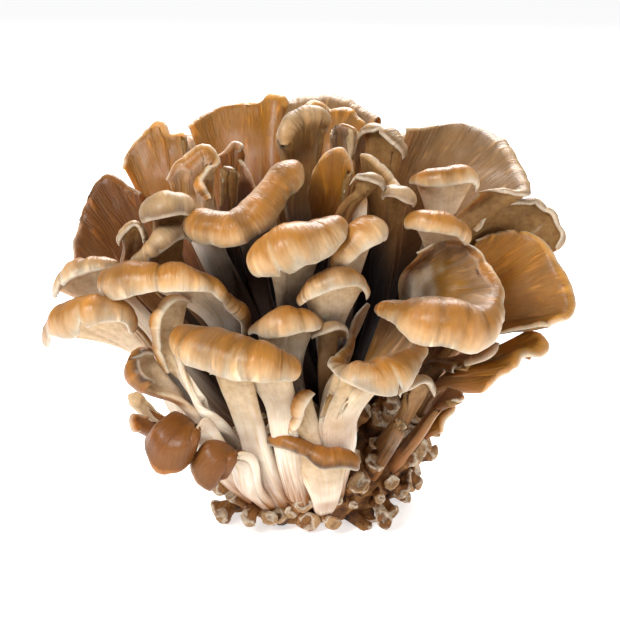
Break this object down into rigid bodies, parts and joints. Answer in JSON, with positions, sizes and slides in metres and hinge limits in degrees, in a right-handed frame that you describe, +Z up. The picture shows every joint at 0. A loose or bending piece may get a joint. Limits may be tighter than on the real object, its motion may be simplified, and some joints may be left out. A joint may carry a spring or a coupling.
{
  "type": "maitake mushroom",
  "caption": "Maitake mushroom cluster: curled brown fronds on pale branching stems that grow from one cut base.",
  "frame": {"origin": "on the flat cut face under the base, at the point that the stems branch from", "axes": "+X along the row of widest caps, towards the broad open frond; +Y away from the side that faces the viewer; +Z up"},
  "size_m": [0.1554, 0.1259, 0.1233],
  "materials": {
    "frond_flesh": "satin",
    "thin_frond_flesh": "satin",
    "base_flesh": "matte"
  },
  "bodies": {
    "root": {"cut_base": "base_flesh", "front_left_cap": "frond_flesh", "front_left_under": "frond_flesh", "left_ear": "frond_flesh", "middle_low_roll": "frond_flesh", "middle_right_roll": "frond_flesh", "small_grey_cap": "frond_flesh", "front_right_funnel": "frond_flesh", "front_small_curl": "frond_flesh", "front_low_cap": "frond_flesh", "centre_button": "frond_flesh", "upper_long_roll": "frond_flesh", "middle_roll": "frond_flesh", "right_round_cap": "frond_flesh", "right_top_cap": "frond_flesh", "right_brown_band": "frond_flesh", "upper_right_fan": "frond_flesh", "right_arched_fan": "frond_flesh", "right_great_fan": "thin_frond_flesh", "right_shadow_leaf": "thin_frond_flesh", "right_twisted_leaf": "thin_frond_flesh", "right_dark_hood": "thin_frond_flesh", "right_amber_leaf": "thin_frond_flesh", "right_grey_curl": "frond_flesh", "right_sprout": "thin_frond_flesh", "left_drooping_cap": "frond_flesh", "left_thumb": "frond_flesh", "left_dark_spur_a": "thin_frond_flesh", "left_dark_spur_b": "thin_frond_flesh", "left_low_helmet": "thin_frond_flesh", "left_low_helmet_b": "thin_frond_flesh", "left_long_roll": "frond_flesh", "left_wing": "frond_flesh", "left_little_hood": "frond_flesh", "left_small_cap": "frond_flesh", "left_wrinkled": "frond_flesh", "left_bright_cap": "thin_frond_flesh", "left_back_fan": "thin_frond_flesh", "left_amber_fan": "thin_frond_flesh", "top_tall_fan": "thin_frond_flesh", "top_back_fan": "thin_frond_flesh", "top_dark_fan": "thin_frond_flesh", "top_amber_tongue": "thin_frond_flesh", "top_folded_cap": "frond_flesh", "top_brown_tongue": "thin_frond_flesh", "top_grey_roll": "frond_flesh", "top_upright_tongue": "thin_frond_flesh", "top_saddle": "thin_frond_flesh", "top_saddle_lobe": "frond_flesh", "top_arched_cap": "frond_flesh", "rear_middle_cap": "frond_flesh", "rear_upper_left_cap": "frond_flesh", "rear_upper_right_cap": "frond_flesh", "rear_left_cap": "frond_flesh", "rear_right_cap": "frond_flesh", "rear_low_middle_cap": "frond_flesh", "rear_low_left_cap": "frond_flesh", "rear_low_right_cap": "frond_flesh", "rear_top_cap": "frond_flesh", "left_side_cap": "frond_flesh"}
  },
  "joints": []
}
